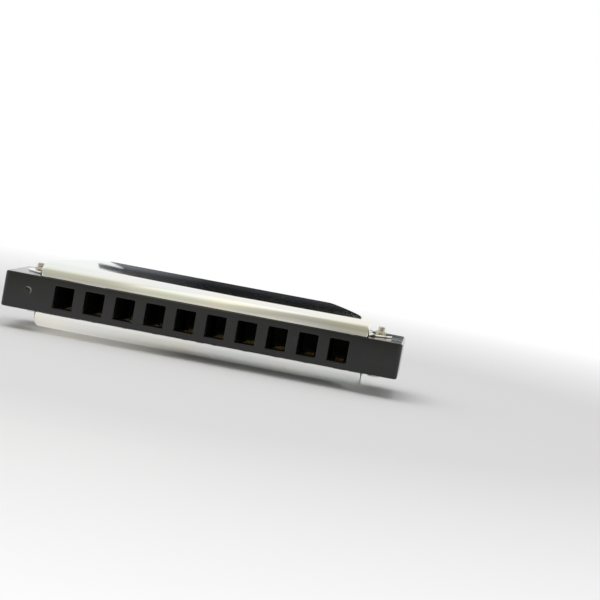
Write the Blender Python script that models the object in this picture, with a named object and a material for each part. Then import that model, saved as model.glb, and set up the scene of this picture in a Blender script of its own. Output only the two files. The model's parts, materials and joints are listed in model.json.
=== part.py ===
"""A ten-hole diatonic harmonica, piece by piece, in metres with +Z up.

X runs along the row of holes from the lowest to the highest, the mouth side faces -Y, and the lowest edge of
the bottom cover lies at Z = 0. Every piece hangs on one empty at the middle of the comb.
"""

import math

import bmesh
import bpy
from mathutils import Vector

# Mouth holes and the chambers behind them
HOLE_COUNT = 10
HOLE_PITCH = 0.0076
HOLE_WIDTH = 0.0047
HOLE_HEIGHT = 0.0054
HOLE_CHAMFER = 0.0003
CHAMBER_END_ROOM = 0.0003

# Comb
RAIL_WEB = 0.0005  # what is left between a mouth hole and the bed of a reed plate
FRONT_RAIL_DEPTH = 0.003
PLATE_LEDGE = 0.001
REAR_RAIL_DEPTH = 0.0015
END_BLOCK_LENGTH = 0.00925
COMB_CORNER_RADIUS = 0.0012
COMB_EDGE_RADIUS = 0.0005
PIP_RADIUS = 0.0009
PIP_HEIGHT = 0.0003
PIP_CHAMFER = 0.0001
PIP_INSET = 0.0062
PIP_RISE = 0.00045

# Reeds
LONGEST_REED = 0.0154
REED_STEP = 0.0006
REED_WIDTH = 0.0021
REED_TIP_WIDTH = 0.0018
REED_THICKNESS = 0.00026
REED_BELLY_THICKNESS = 0.00018
ROOT_LENGTH = 0.003
ROOT_WIDTH = 0.0029
RIVET_RADIUS = 0.0005
RIVET_HEAD_RADIUS = 0.0009
RIVET_HEAD_HEIGHT = 0.00035
RIVET_HEAD_ROUNDING = 0.00025
REED_SIDE_GAP = 0.0001
REED_TIP_GAP = 0.00015
FLEX_GAP = 0.0001
FLEX_PART = 0.15  # a clamped leaf swings as if hinged at this part of its length

# Reed plates and their screws
PLATE_THICKNESS = 0.001
PLATE_FRONT_MARGIN = 0.0015
PLATE_REAR_MARGIN = 0.00115
PLATE_END_MARGIN = 0.0058
PLATE_CORNER_RADIUS = 0.0008
DRAW_ROOT_MARGIN = 0.001
SCREW_RADIUS = 0.0006
SCREW_LENGTH = 0.0034
SCREW_POINT = 0.0003
SCREW_HEAD_RADIUS = 0.0012
SCREW_HEAD_HEIGHT = 0.0007
SCREW_HEAD_ROUNDING = 0.00035
SCREW_SLOT_WIDTH = 0.0003
SCREW_SLOT_DEPTH = 0.0003
SCREW_END_OFFSET = 0.004
SCREW_FRONT_OFFSET = 0.0023
SCREW_REAR_OFFSET = 0.0014
REAR_SCREW_PITCHES = 3

# Covers
SHEET = 0.00045
COVER_FRONT_SETBACK = 0.0006
COVER_BACK_SETBACK = 0.0014
COVER_END_LAND = 0.0007
FOOT_RISE = 0.0005
SHOULDER_DEPTH = 0.0044
SHOULDER_RISE = 0.0037
BACK_RISE = 0.005
RIDGE_BACK_INSET = 0.0113
RIDGE_ROUNDING = 0.001
RIDGE_PART = 0.4  # the most of a low wall that the ridge's rounding may take
FOOT_PART = 0.27  # the most of a low wall that the foot's bend may take
COVER_CORNER_RADIUS = 0.0007
BACK_LIP = 0.0009
SLIT_WIDTH = 0.0006
SLIT_HEIGHT = 0.0019
SLIT_TURN = math.radians(55)

# Ears, bolts and nuts
EAR_WIDTH = 0.0104
EAR_TIP_RADIUS = 0.0028
EAR_TIP_TURN = math.radians(65)
EAR_FLARE = 0.0011
FLARE_EASE = 0.6  # how far the flare's hollow bend is straightened
BOLT_RADIUS = 0.00085
BOLT_OFFSET = 0.00325
BOLT_DEPTH = 0.0118
BOLT_END = 0.00115
BOLT_END_CHAMFER = 0.0003
BOLT_HEAD_RADIUS = 0.0016
BOLT_HEAD_HEIGHT = 0.0006
BOLT_HEAD_ROUNDING = 0.0002
BOLT_SLOT_WIDTH = 0.0004
BOLT_SLOT_DEPTH = 0.0003
NUT_SIDES = 6
NUT_ACROSS_FLATS = 0.0025
NUT_THICKNESS = 0.00065
NUT_CHAMFER = 0.0001

# Clearances
SEAT_GAP = 0.0001
PLATE_GAP = 0.00015
BORE_GAP = 0.0001

# Facets on round forms, and the angles that count as edges
ARC_STEPS = 4
EDGE_STEPS = 2
FRONT_STEPS = 6
EAR_STEPS = 3
BORE_SIDES = 16
SMALL_SIDES = 12
ROUNDED_EDGE_ANGLE = math.radians(60)
SHADED_EDGE_ANGLE = math.radians(35)

# Sizes that follow from those above
HOLES = range(1, HOLE_COUNT + 1)
ROW_HALF = HOLE_PITCH * (HOLE_COUNT - 1) / 2
PLATE_HALF = ROW_HALF + PLATE_END_MARGIN
RECESS_HALF = PLATE_HALF + PLATE_GAP
COMB_HALF = RECESS_HALF + END_BLOCK_LENGTH
PLATE_DEPTH = PLATE_FRONT_MARGIN + REED_TIP_GAP + LONGEST_REED + ROOT_LENGTH + PLATE_REAR_MARGIN
COMB_DEPTH = FRONT_RAIL_DEPTH + PLATE_GAP + PLATE_DEPTH + PLATE_GAP + REAR_RAIL_DEPTH
COMB_FRONT = -COMB_DEPTH / 2
RECESS_FLOOR = HOLE_HEIGHT / 2 + RAIL_WEB
COMB_TOP = RECESS_FLOOR + SEAT_GAP + PLATE_THICKNESS + SEAT_GAP
COMB_HEIGHT = 2 * COMB_TOP
RECESS_FRONT = COMB_FRONT + FRONT_RAIL_DEPTH
RECESS_BACK = COMB_FRONT + COMB_DEPTH - REAR_RAIL_DEPTH
PLATE_FRONT = RECESS_FRONT + PLATE_GAP
PLATE_BACK = PLATE_FRONT + PLATE_DEPTH
PLATE_INNER = RECESS_FLOOR + SEAT_GAP
PLATE_OUTER = PLATE_INNER + PLATE_THICKNESS
COVER_FOOT = COMB_TOP + SEAT_GAP
COVER_FRONT = COMB_FRONT + COVER_FRONT_SETBACK
COVER_SHOULDER = COVER_FRONT + SHOULDER_DEPTH
COVER_BACK = COMB_FRONT + COMB_DEPTH - COVER_BACK_SETBACK
COVER_HALF = RECESS_HALF + COVER_END_LAND
ROOF_SLOPE = (BACK_RISE - SHOULDER_RISE) / (COVER_BACK - COVER_SHOULDER)
BOLT_X = RECESS_HALF + BOLT_OFFSET
BOLT_Y = COMB_FRONT + BOLT_DEPTH
EAR_TOP = COVER_FOOT + SHEET
MIDDLE_HEIGHT = COVER_FOOT + BACK_RISE


def hole_x(number):
    return HOLE_PITCH * (number - 1) - ROW_HALF


def reed_length(number):
    return LONGEST_REED - REED_STEP * (number - 1)


def blow_root_line(number):
    """Where a blow reed leaves its riveted root: its tip lies near the mouth."""
    return PLATE_FRONT + PLATE_FRONT_MARGIN + REED_TIP_GAP + reed_length(number)


def draw_root_line():
    """Where all the draw reeds leave their riveted roots: their tips lie near the back."""
    return PLATE_FRONT + DRAW_ROOT_MARGIN + ROOT_LENGTH


def chamber_back(number):
    blow_end = blow_root_line(number) + ROOT_LENGTH
    draw_end = draw_root_line() + reed_length(number) + REED_TIP_GAP
    return max(blow_end, draw_end) + CHAMBER_END_ROOM


def screw_places():
    front = PLATE_FRONT + SCREW_FRONT_OFFSET
    back = PLATE_BACK - SCREW_REAR_OFFSET
    outer = ROW_HALF + SCREW_END_OFFSET
    inner = REAR_SCREW_PITCHES * HOLE_PITCH
    return [(-outer, front), (0.0, front), (outer, front), (-inner, back), (inner, back)]


# Mesh helpers


def add_box(mesh, low, high):
    corners = [(x, y, z) for z in (low[2], high[2]) for y in (low[1], high[1]) for x in (low[0], high[0])]
    v = [mesh.verts.new(corner) for corner in corners]
    for face in ((0, 2, 3, 1), (4, 5, 7, 6), (0, 1, 5, 4), (2, 6, 7, 3), (0, 4, 6, 2), (1, 3, 7, 5)):
        mesh.faces.new([v[i] for i in face])


def add_loft(mesh, rings):
    """A closed skin over rings of equally many points, capped at both ends."""
    loops = [[mesh.verts.new(point) for point in ring] for ring in rings]
    count = len(loops[0])
    for near, far in zip(loops, loops[1:]):
        for i in range(count):
            j = (i + 1) % count
            mesh.faces.new((near[i], near[j], far[j], far[i]))
    mesh.faces.new(loops[0][::-1])
    mesh.faces.new(loops[-1])


def add_twisted_loft(mesh, rings):
    """A loft whose sides aren't flat, so each is split into two true planes."""
    add_loft(mesh, rings)
    bmesh.ops.triangulate(mesh, faces=mesh.faces[:])


def add_prism(mesh, outline, low, high):
    add_loft(mesh, [[(x, y, z) for x, y in outline] for z in (low, high)])


def add_turned(mesh, profile, sides, centre=(0.0, 0.0)):
    """A solid of revolution about a vertical axis, from (radius, height) pairs going up."""
    rings = []
    for radius, height in profile:
        turns = [2 * math.pi * (i + 0.5) / sides for i in range(sides)]
        rings.append(
            [(centre[0] + radius * math.cos(a), centre[1] + radius * math.sin(a), height) for a in turns]
        )
    add_loft(mesh, rings)


def rounded_rectangle(low, high, radius):
    """A rectangle's outline with arcs of one radius at its corners, anticlockwise."""
    centres = ((high[0], high[1], 0), (low[0], high[1], 90), (low[0], low[1], 180), (high[0], low[1], 270))
    outline = []
    for x, y, start in centres:
        inner_x = x - radius if x == high[0] else x + radius
        inner_y = y - radius if y == high[1] else y + radius
        for step in range(ARC_STEPS + 1):
            angle = math.radians(start + 90 * step / ARC_STEPS)
            outline.append((inner_x + radius * math.cos(angle), inner_y + radius * math.sin(angle)))
    return outline


def material(name, colour, metallic, roughness):
    made = bpy.data.materials.new(name)
    made.use_nodes = True
    shader = made.node_tree.nodes["Principled BSDF"]
    shader.inputs["Base Color"].default_value = (*colour, 1.0)
    shader.inputs["Metallic"].default_value = metallic
    shader.inputs["Roughness"].default_value = roughness
    made.diffuse_color = (*colour, 1.0)
    return made


def piece(name, mesh, finish, location=(0.0, 0.0, 0.0)):
    """A named solid on the comb's empty, with its faces turned outwards."""
    bmesh.ops.recalc_face_normals(mesh, faces=mesh.faces)
    data = bpy.data.meshes.new(name)
    mesh.to_mesh(data)
    mesh.free()
    data.shade_smooth()
    data.set_sharp_from_angle(angle=SHADED_EDGE_ANGLE)
    if finish:
        data.materials.append(finish)
    made = bpy.data.objects.new(name, data)
    bpy.context.scene.collection.objects.link(made)
    made.parent = harmonica
    made.location = location
    return made


def cutter(name, mesh):
    made = piece(name, mesh, None)
    made.hide_render = True
    made.display_type = "WIRE"
    return made


def combine(target, tool, operation, solver="EXACT"):
    step = target.modifiers.new(tool.name, "BOOLEAN")
    step.operation = operation
    step.solver = solver
    step.object = tool


# Comb


def make_comb():
    mesh = bmesh.new()
    outline = rounded_rectangle((-COMB_HALF, COMB_FRONT), (COMB_HALF, -COMB_FRONT), COMB_CORNER_RADIUS)
    add_prism(mesh, outline, -COMB_TOP, COMB_TOP)
    comb = piece("comb", mesh, black_plastic)
    rounding = comb.modifiers.new("edge_rounding", "BEVEL")
    rounding.width = COMB_EDGE_RADIUS
    rounding.segments = EDGE_STEPS
    rounding.limit_method = "ANGLE"
    rounding.angle_limit = ROUNDED_EDGE_ANGLE
    combine(comb, recess_cutter(), "DIFFERENCE")
    combine(comb, chamber_cutter(), "DIFFERENCE")
    combine(comb, mouth_cutter(), "DIFFERENCE")
    combine(comb, bore_cutter(), "DIFFERENCE")
    combine(comb, pip_tool(), "UNION")


def recess_cutter():
    """The shallow beds for the two reed plates."""
    mesh = bmesh.new()
    outline = rounded_rectangle((-RECESS_HALF, RECESS_FRONT), (RECESS_HALF, RECESS_BACK), PLATE_CORNER_RADIUS)
    add_prism(mesh, outline, RECESS_FLOOR, COMB_HEIGHT)
    add_prism(mesh, outline, -COMB_HEIGHT, -RECESS_FLOOR)
    return cutter("cut_recesses", mesh)


def chamber_cutter():
    """The slots between the two beds, shorter towards the high notes."""
    mesh = bmesh.new()
    for number in HOLES:
        low = (hole_x(number) - HOLE_WIDTH / 2, RECESS_FRONT + PLATE_LEDGE, -COMB_TOP)
        high = (hole_x(number) + HOLE_WIDTH / 2, chamber_back(number), COMB_TOP)
        add_box(mesh, low, high)
    return cutter("cut_chambers", mesh)


def mouth_cutter():
    """The square mouth holes through the front rail, with a small lead-in at the face."""
    mesh = bmesh.new()
    stations = (
        (COMB_FRONT - HOLE_CHAMFER, 2 * HOLE_CHAMFER),
        (COMB_FRONT + HOLE_CHAMFER, 0.0),
        (RECESS_FRONT + 2 * PLATE_LEDGE, 0.0),
    )
    for number in HOLES:
        rings = []
        for y, grown in stations:
            half_x = HOLE_WIDTH / 2 + grown
            half_z = HOLE_HEIGHT / 2 + grown
            corners = ((-1, -1), (1, -1), (1, 1), (-1, 1))
            rings.append([(hole_x(number) + sx * half_x, y, sz * half_z) for sx, sz in corners])
        add_loft(mesh, rings)
    return cutter("cut_mouth_holes", mesh)


def bore_cutter():
    """The bores for the cover bolts and the plate screws, right through the comb."""
    mesh = bmesh.new()
    bores = [(place, SCREW_RADIUS + BORE_GAP) for place in screw_places()]
    bores += [((side * BOLT_X, BOLT_Y), BOLT_RADIUS + BORE_GAP) for side in (-1, 1)]
    for place, radius in bores:
        add_turned(mesh, [(radius, -COMB_HEIGHT), (radius, COMB_HEIGHT)], BORE_SIDES, place)
    return cutter("cut_bores", mesh)


def pip_tool():
    """The small raised dot on the mouth side, left of the first hole."""
    face = COMB_FRONT - PIP_HEIGHT
    stations = (
        (COMB_FRONT + PIP_HEIGHT, PIP_RADIUS),
        (face + PIP_CHAMFER, PIP_RADIUS),
        (face, PIP_RADIUS - PIP_CHAMFER),
    )
    x = -COMB_HALF + PIP_INSET
    turns = [2 * math.pi * i / BORE_SIDES for i in range(BORE_SIDES)]
    rings = []
    for y, radius in stations:
        rings.append([(x + radius * math.cos(a), y, PIP_RISE + radius * math.sin(a)) for a in turns])
    mesh = bmesh.new()
    add_loft(mesh, rings)
    return cutter("join_pip", mesh)


# Reed plates, reeds and plate screws


def make_plate(name, level, roots, way):
    """A brass plate with a slot from each root line; way is +1 where the tongues run to the back."""
    mesh = bmesh.new()
    outline = rounded_rectangle((-PLATE_HALF, PLATE_FRONT), (PLATE_HALF, PLATE_BACK), PLATE_CORNER_RADIUS)
    add_prism(mesh, outline, level, level + PLATE_THICKNESS)
    plate = piece(name, mesh, brass)
    slots = bmesh.new()
    holes = bmesh.new()
    low = level - PLATE_THICKNESS
    high = level + 2 * PLATE_THICKNESS
    half = REED_WIDTH / 2 + REED_SIDE_GAP
    for number, root in zip(HOLES, roots):
        x = hole_x(number)
        tip = root + way * (reed_length(number) + REED_TIP_GAP)
        add_box(slots, (x - half, min(root, tip), low), (x + half, max(root, tip), high))
        wall = RIVET_RADIUS + BORE_GAP
        add_turned(holes, [(wall, low), (wall, high)], SMALL_SIDES, (x, root - way * ROOT_LENGTH / 2))
    for place in screw_places():
        wall = SCREW_RADIUS + BORE_GAP
        add_turned(holes, [(wall, low), (wall, high)], SMALL_SIDES, place)
    combine(plate, cutter("cut_slots_" + name, slots), "DIFFERENCE")
    combine(plate, cutter("cut_holes_" + name, holes), "DIFFERENCE")


def make_reed(name, number, level, root, way):
    """A free tongue, its origin on the line about which it swings."""
    length = reed_length(number)
    flex = root + way * FLEX_PART * length
    reach = length * (1 - FLEX_PART)
    top = REED_THICKNESS / 2
    stations = (
        (FLEX_GAP / 2, REED_WIDTH, REED_THICKNESS),
        (reach / 2, (REED_WIDTH + REED_TIP_WIDTH) / 2, REED_BELLY_THICKNESS),
        (reach, REED_TIP_WIDTH, REED_THICKNESS),
    )
    mesh = bmesh.new()
    rings = []
    for along, width, thickness in stations:
        corners = ((-1, top - thickness), (1, top - thickness), (1, top), (-1, top))
        rings.append([(side * width / 2, way * along, z) for side, z in corners])
    add_loft(mesh, rings)
    piece(name, mesh, reed_bronze, (hole_x(number), flex, level - SEAT_GAP - top))


def make_root(name, number, level, root, way):
    """The clamped end of a reed and the rivet through it, with its head below and its tail in the plate."""
    stub = way * (FLEX_PART * reed_length(number) - FLEX_GAP / 2)
    back = -way * ROOT_LENGTH
    top = level - SEAT_GAP
    wide = ROOT_WIDTH / 2
    narrow = REED_WIDTH / 2
    outline = [(-wide, back), (wide, back), (wide, 0.0), (narrow, 0.0)]
    outline += [(narrow, stub), (-narrow, stub), (-narrow, 0.0), (-wide, 0.0)]
    leaf = bmesh.new()
    add_prism(leaf, outline, top - REED_THICKNESS, top)
    made = piece(name, leaf, reed_bronze, (hole_x(number), root, 0.0))
    under = top - REED_THICKNESS
    rivet = bmesh.new()
    crown = under - RIVET_HEAD_HEIGHT
    profile = (
        (RIVET_HEAD_RADIUS - RIVET_HEAD_ROUNDING, crown),
        (RIVET_HEAD_RADIUS, crown + RIVET_HEAD_ROUNDING),
        (RIVET_HEAD_RADIUS, under + REED_THICKNESS / 2),
        (RIVET_RADIUS, under + REED_THICKNESS / 2),
        (RIVET_RADIUS, level + PLATE_THICKNESS),
    )
    add_turned(rivet, profile, SMALL_SIDES, (hole_x(number), root + back / 2))
    combine(made, cutter("join_rivet_" + name, rivet), "UNION")


def make_screw(name, place, side):
    """A slotted plate screw; side is +1 on top of the comb and -1 below it."""
    seat = PLATE_OUTER + SEAT_GAP
    end = seat - SCREW_LENGTH
    top = seat + SCREW_HEAD_HEIGHT
    mesh = bmesh.new()
    profile = (
        (SCREW_RADIUS - SCREW_POINT, end),
        (SCREW_RADIUS, end + SCREW_POINT),
        (SCREW_RADIUS, seat),
        (SCREW_HEAD_RADIUS, seat),
        (SCREW_HEAD_RADIUS, top - SCREW_HEAD_ROUNDING),
        (SCREW_HEAD_RADIUS - SCREW_HEAD_ROUNDING, top),
    )
    add_turned(mesh, profile, SMALL_SIDES)
    made = piece(name, mesh, steel, (*place, 0.0))
    slot = bmesh.new()
    reach = 2 * SCREW_HEAD_RADIUS
    half = SCREW_SLOT_WIDTH / 2
    add_box(slot, (-reach, -half, top - SCREW_SLOT_DEPTH), (reach, half, top + SCREW_SLOT_DEPTH))
    notch = cutter("cut_slot_" + name, slot)
    notch.parent = made
    combine(made, notch, "DIFFERENCE")
    if side < 0:
        made.rotation_euler.x = math.pi


# Covers


def roof(y, inset):
    """Height of the sheet above its foot, or of its inner face when inset by the sheet's thickness."""
    rise = SHOULDER_RISE - inset
    if y >= COVER_SHOULDER:
        return rise + (y - COVER_SHOULDER) * ROOF_SLOPE
    run = (COVER_SHOULDER - y) / (COVER_SHOULDER - COVER_FRONT - inset)
    return FOOT_RISE + (rise - FOOT_RISE) * math.sqrt(max(0.0, 1 - run * run))


def end_foot(y):
    """Half the cover's length at its foot, rounded in plan at the front corners."""
    behind = y - COVER_FRONT
    if behind >= COVER_CORNER_RADIUS:
        return COVER_HALF
    short = COVER_CORNER_RADIUS - behind
    return COVER_HALF - COVER_CORNER_RADIUS + math.sqrt(max(0.0, COVER_CORNER_RADIUS**2 - short * short))


def flare(y):
    """How far the end wall's foot spreads into the ear: fully at the bolt, not at all past the ear."""
    share = abs(y - BOLT_Y) / (EAR_WIDTH / 2)
    return EAR_FLARE * max(0.0, 1 - share**4)


def bend(start, corner, end, steps):
    """Points on a smooth bend from start to end, drawn towards a corner."""
    points = []
    for step in range(steps + 1):
        t = step / steps
        points.append(start * (1 - t) ** 2 + corner * 2 * t * (1 - t) + end * t * t)
    return points


def ear_edge(y):
    """How far an ear reaches from the cover's middle at one depth, with a round tip about the bolt."""
    across = abs(y - BOLT_Y)
    tip_half = EAR_TIP_RADIUS * math.sin(EAR_TIP_TURN)
    if across <= tip_half:
        return BOLT_X + math.sqrt(EAR_TIP_RADIUS**2 - across * across)
    tip_start = BOLT_X + EAR_TIP_RADIUS * math.cos(EAR_TIP_TURN)
    root = COVER_HALF + EAR_FLARE
    return tip_start + (root - tip_start) * (across - tip_half) / (EAR_WIDTH / 2 - tip_half)


def cover_section(y, inset, top=None):
    """The cover's cross-section at one depth: over the roof from its right foot to its left foot."""
    ridge_inset = RIDGE_BACK_INSET * max(0.0, (y - COVER_SHOULDER) / (COVER_BACK - COVER_SHOULDER))
    lean = ridge_inset / roof(y, 0.0)
    foot = end_foot(y) - inset * math.hypot(1.0, lean)
    top = roof(y, inset) if top is None else top
    low = min(SHEET, FOOT_PART * top)
    high = low + min(EAR_FLARE, FOOT_PART * top)
    has_ear = inset == 0 and abs(y - BOLT_Y) < EAR_WIDTH / 2 + SHEET / 2
    spread = flare(y) if has_ear else 0.0
    ridge = Vector((foot - lean * top, top))
    wall = Vector((lean, -1.0)).normalized()
    rounding = min(RIDGE_ROUNDING - inset, RIDGE_PART * top)
    wall_low = Vector((foot - lean * low, low))
    wall_high = Vector((foot - lean * high, high))
    if has_ear:
        half = [Vector((ear_edge(y), 0.0)), Vector((ear_edge(y), low))]
    else:
        half = [Vector((foot, 0.0)), Vector((foot - lean * low / 2, low / 2))]
    bend_start = wall_low + Vector((spread, 0.0))
    bend_corner = wall_low.lerp((bend_start + wall_high) / 2, FLARE_EASE)
    half += bend(bend_start, bend_corner, wall_high, ARC_STEPS - 1)
    half += bend(ridge + wall * rounding, ridge, ridge - Vector((rounding, 0.0)), ARC_STEPS)
    return [(p.x, y, p.y) for p in half] + [(-p.x, y, p.y) for p in reversed(half)]


def cover_stations():
    """Depths of the sections: close on the curved front, across the ear and along the roof."""
    turns = [math.pi / 2 * (1 - step / FRONT_STEPS) for step in range(FRONT_STEPS)]
    front = [COVER_SHOULDER - SHOULDER_DEPTH * math.sin(turn) for turn in turns]
    tip_half = EAR_TIP_RADIUS * math.sin(EAR_TIP_TURN)
    halves = [EAR_TIP_RADIUS * math.sin(EAR_TIP_TURN * step / EAR_STEPS) for step in range(EAR_STEPS)]
    halves += [tip_half, (tip_half + EAR_WIDTH / 2) / 2, EAR_WIDTH / 2, EAR_WIDTH / 2 + SHEET]
    ear = [BOLT_Y - half for half in reversed(halves)] + [BOLT_Y + half for half in halves[1:]]
    return front + [COVER_SHOULDER] + ear + [(ear[-1] + COVER_BACK) / 2, COVER_BACK]


def make_cover(name, side):
    """A pressed cover, drawn as the upper one; side is -1 for the lower, turned over about Y."""
    stations = cover_stations()
    mesh = bmesh.new()
    add_twisted_loft(mesh, [cover_section(y, 0.0) for y in stations])
    cover = piece(name, mesh, polished_steel, (0.0, 0.0, side * COVER_FOOT))
    cuts = {
        "bores": ear_bores(),
        "hollow": cover_hollow(stations),
        "slits": corner_slits(),
        "back": cover_mouth(),
    }
    for label, cut in cuts.items():
        tool = cutter(f"cut_{label}_{name}", cut)
        tool.parent = cover
        combine(cover, tool, "DIFFERENCE", "MANIFOLD")
    if side < 0:
        cover.rotation_euler.y = math.pi


def cover_hollow(stations):
    """The space under the sheet, from inside its front to inside its back lip."""
    inner_share = (SHOULDER_DEPTH - SHEET) / SHOULDER_DEPTH
    depths = [COVER_SHOULDER - (COVER_SHOULDER - y) * inner_share for y in stations if y < COVER_SHOULDER]
    depths += [y for y in stations if COVER_SHOULDER <= y < COVER_BACK - SHEET] + [COVER_BACK - SHEET]
    rings = []
    for y in depths:
        ring = cover_section(y, SHEET)
        ring[0] = (ring[0][0], y, -SHEET)
        ring[-1] = (ring[-1][0], y, -SHEET)
        rings.append(ring)
    mesh = bmesh.new()
    add_twisted_loft(mesh, rings)
    return mesh


def cover_mouth():
    """The open back, inside a lip folded in from the roof and the end walls."""
    ring = cover_section(COVER_BACK, 2 * SHEET, BACK_RISE - BACK_LIP)
    ring[0] = (ring[0][0], COVER_BACK, -SHEET)
    ring[-1] = (ring[-1][0], COVER_BACK, -SHEET)
    mesh = bmesh.new()
    add_loft(mesh, [[(x, y, z) for x, _, z in ring] for y in (COVER_BACK - 2 * SHEET, COVER_BACK + SHEET)])
    return mesh


def ear_bores():
    mesh = bmesh.new()
    for end in (-1, 1):
        wall = BOLT_RADIUS + BORE_GAP
        add_turned(mesh, [(wall, -SHEET), (wall, 2 * SHEET)], BORE_SIDES, (end * BOLT_X, BOLT_Y))
    return mesh


def corner_slits():
    """The relief cuts between the front and the end walls: wedges that close above each corner's foot."""
    mesh = bmesh.new()
    below = Vector((0.0, 0.0, -SHEET))
    peak = Vector((0.0, 0.0, SLIT_HEIGHT))
    for end in (-1, 1):
        outwards = Vector((end * math.sin(SLIT_TURN), -math.cos(SLIT_TURN), 0.0))
        across = Vector((math.cos(SLIT_TURN), end * math.sin(SLIT_TURN), 0.0)) * SLIT_WIDTH / 2
        inner = Vector((end * (COVER_HALF - COVER_CORNER_RADIUS), COVER_FRONT + COVER_CORNER_RADIUS, 0.0))
        outer = inner + outwards * (COVER_CORNER_RADIUS + SHEET)
        wedge = [below - across, below + across, across, peak, -across]
        add_loft(mesh, [[place + corner for corner in wedge] for place in (inner, outer)])
    return mesh


# Cover bolts and nuts


def make_bolt(name, x):
    """A slotted bolt through both ears and the comb, with its head below."""
    seat = EAR_TOP + SEAT_GAP
    end = seat + NUT_THICKNESS + BOLT_END
    face = -seat - BOLT_HEAD_HEIGHT
    mesh = bmesh.new()
    profile = (
        (BOLT_HEAD_RADIUS - BOLT_HEAD_ROUNDING, face),
        (BOLT_HEAD_RADIUS, face + BOLT_HEAD_ROUNDING),
        (BOLT_HEAD_RADIUS, -seat),
        (BOLT_RADIUS, -seat),
        (BOLT_RADIUS, end - BOLT_END_CHAMFER),
        (BOLT_RADIUS - BOLT_END_CHAMFER, end),
    )
    add_turned(mesh, profile, BORE_SIDES)
    bolt = piece(name, mesh, nickel, (x, BOLT_Y, 0.0))
    slot = bmesh.new()
    reach = 2 * BOLT_HEAD_RADIUS
    half = BOLT_SLOT_WIDTH / 2
    add_box(slot, (-reach, -half, face - BOLT_SLOT_DEPTH), (reach, half, face + BOLT_SLOT_DEPTH))
    notch = cutter("cut_slot_" + name, slot)
    notch.parent = bolt
    combine(bolt, notch, "DIFFERENCE")


def make_nut(name, x):
    """A small hexagon nut with chamfered corners on the upper ear, one corner towards the mouth."""
    seat = EAR_TOP + SEAT_GAP
    corner = NUT_ACROSS_FLATS / 2 / math.cos(math.pi / NUT_SIDES)
    mesh = bmesh.new()
    profile = (
        (corner - NUT_CHAMFER, seat),
        (corner, seat + NUT_CHAMFER),
        (corner, seat + NUT_THICKNESS - NUT_CHAMFER),
        (corner - NUT_CHAMFER, seat + NUT_THICKNESS),
    )
    add_turned(mesh, profile, NUT_SIDES)
    nut = piece(name, mesh, nickel, (x, BOLT_Y, 0.0))
    bore = bmesh.new()
    wall = BOLT_RADIUS + BORE_GAP
    add_turned(bore, [(wall, seat - NUT_THICKNESS), (wall, seat + 2 * NUT_THICKNESS)], BORE_SIDES)
    hole = cutter("cut_bore_" + name, bore)
    hole.parent = nut
    combine(nut, hole, "DIFFERENCE")


# The assembly

for leftover in list(bpy.data.objects):
    bpy.data.objects.remove(leftover, do_unlink=True)

harmonica = bpy.data.objects.new("harmonica", None)
harmonica.location.z = MIDDLE_HEIGHT
bpy.context.scene.collection.objects.link(harmonica)

black_plastic = material("black_plastic", (0.028, 0.028, 0.029), 0.0, 0.42)
brass = material("brass", (0.62, 0.46, 0.2), 1.0, 0.3)
reed_bronze = material("reed_bronze", (0.72, 0.5, 0.26), 1.0, 0.25)
steel = material("screw_steel", (0.5, 0.49, 0.47), 1.0, 0.35)
polished_steel = material("polished_steel", (0.78, 0.78, 0.76), 1.0, 0.12)
nickel = material("nickel", (0.72, 0.7, 0.66), 1.0, 0.2)

make_comb()
make_plate("upper_reed_plate", PLATE_INNER, [blow_root_line(hole) for hole in HOLES], -1)
make_plate("lower_reed_plate", -PLATE_OUTER, [draw_root_line() for hole in HOLES], 1)
for hole in HOLES:
    make_reed(f"blow_reed_{hole}", hole, PLATE_INNER, blow_root_line(hole), -1)
    make_root(f"blow_reed_root_{hole}", hole, PLATE_INNER, blow_root_line(hole), -1)
    make_reed(f"draw_reed_{hole}", hole, -PLATE_OUTER, draw_root_line(), 1)
    make_root(f"draw_reed_root_{hole}", hole, -PLATE_OUTER, draw_root_line(), 1)
for count, spot in enumerate(screw_places(), start=1):
    make_screw(f"upper_plate_screw_{count}", spot, 1)
    make_screw(f"lower_plate_screw_{count}", spot, -1)
make_cover("top_cover", 1)
make_cover("bottom_cover", -1)
for label, x in (("left", -BOLT_X), ("right", BOLT_X)):
    make_bolt("cover_bolt_" + label, x)
    make_nut("cover_nut_" + label, x)
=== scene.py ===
import json
import math

import bmesh
import bpy
from mathutils import Matrix, Vector


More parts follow.
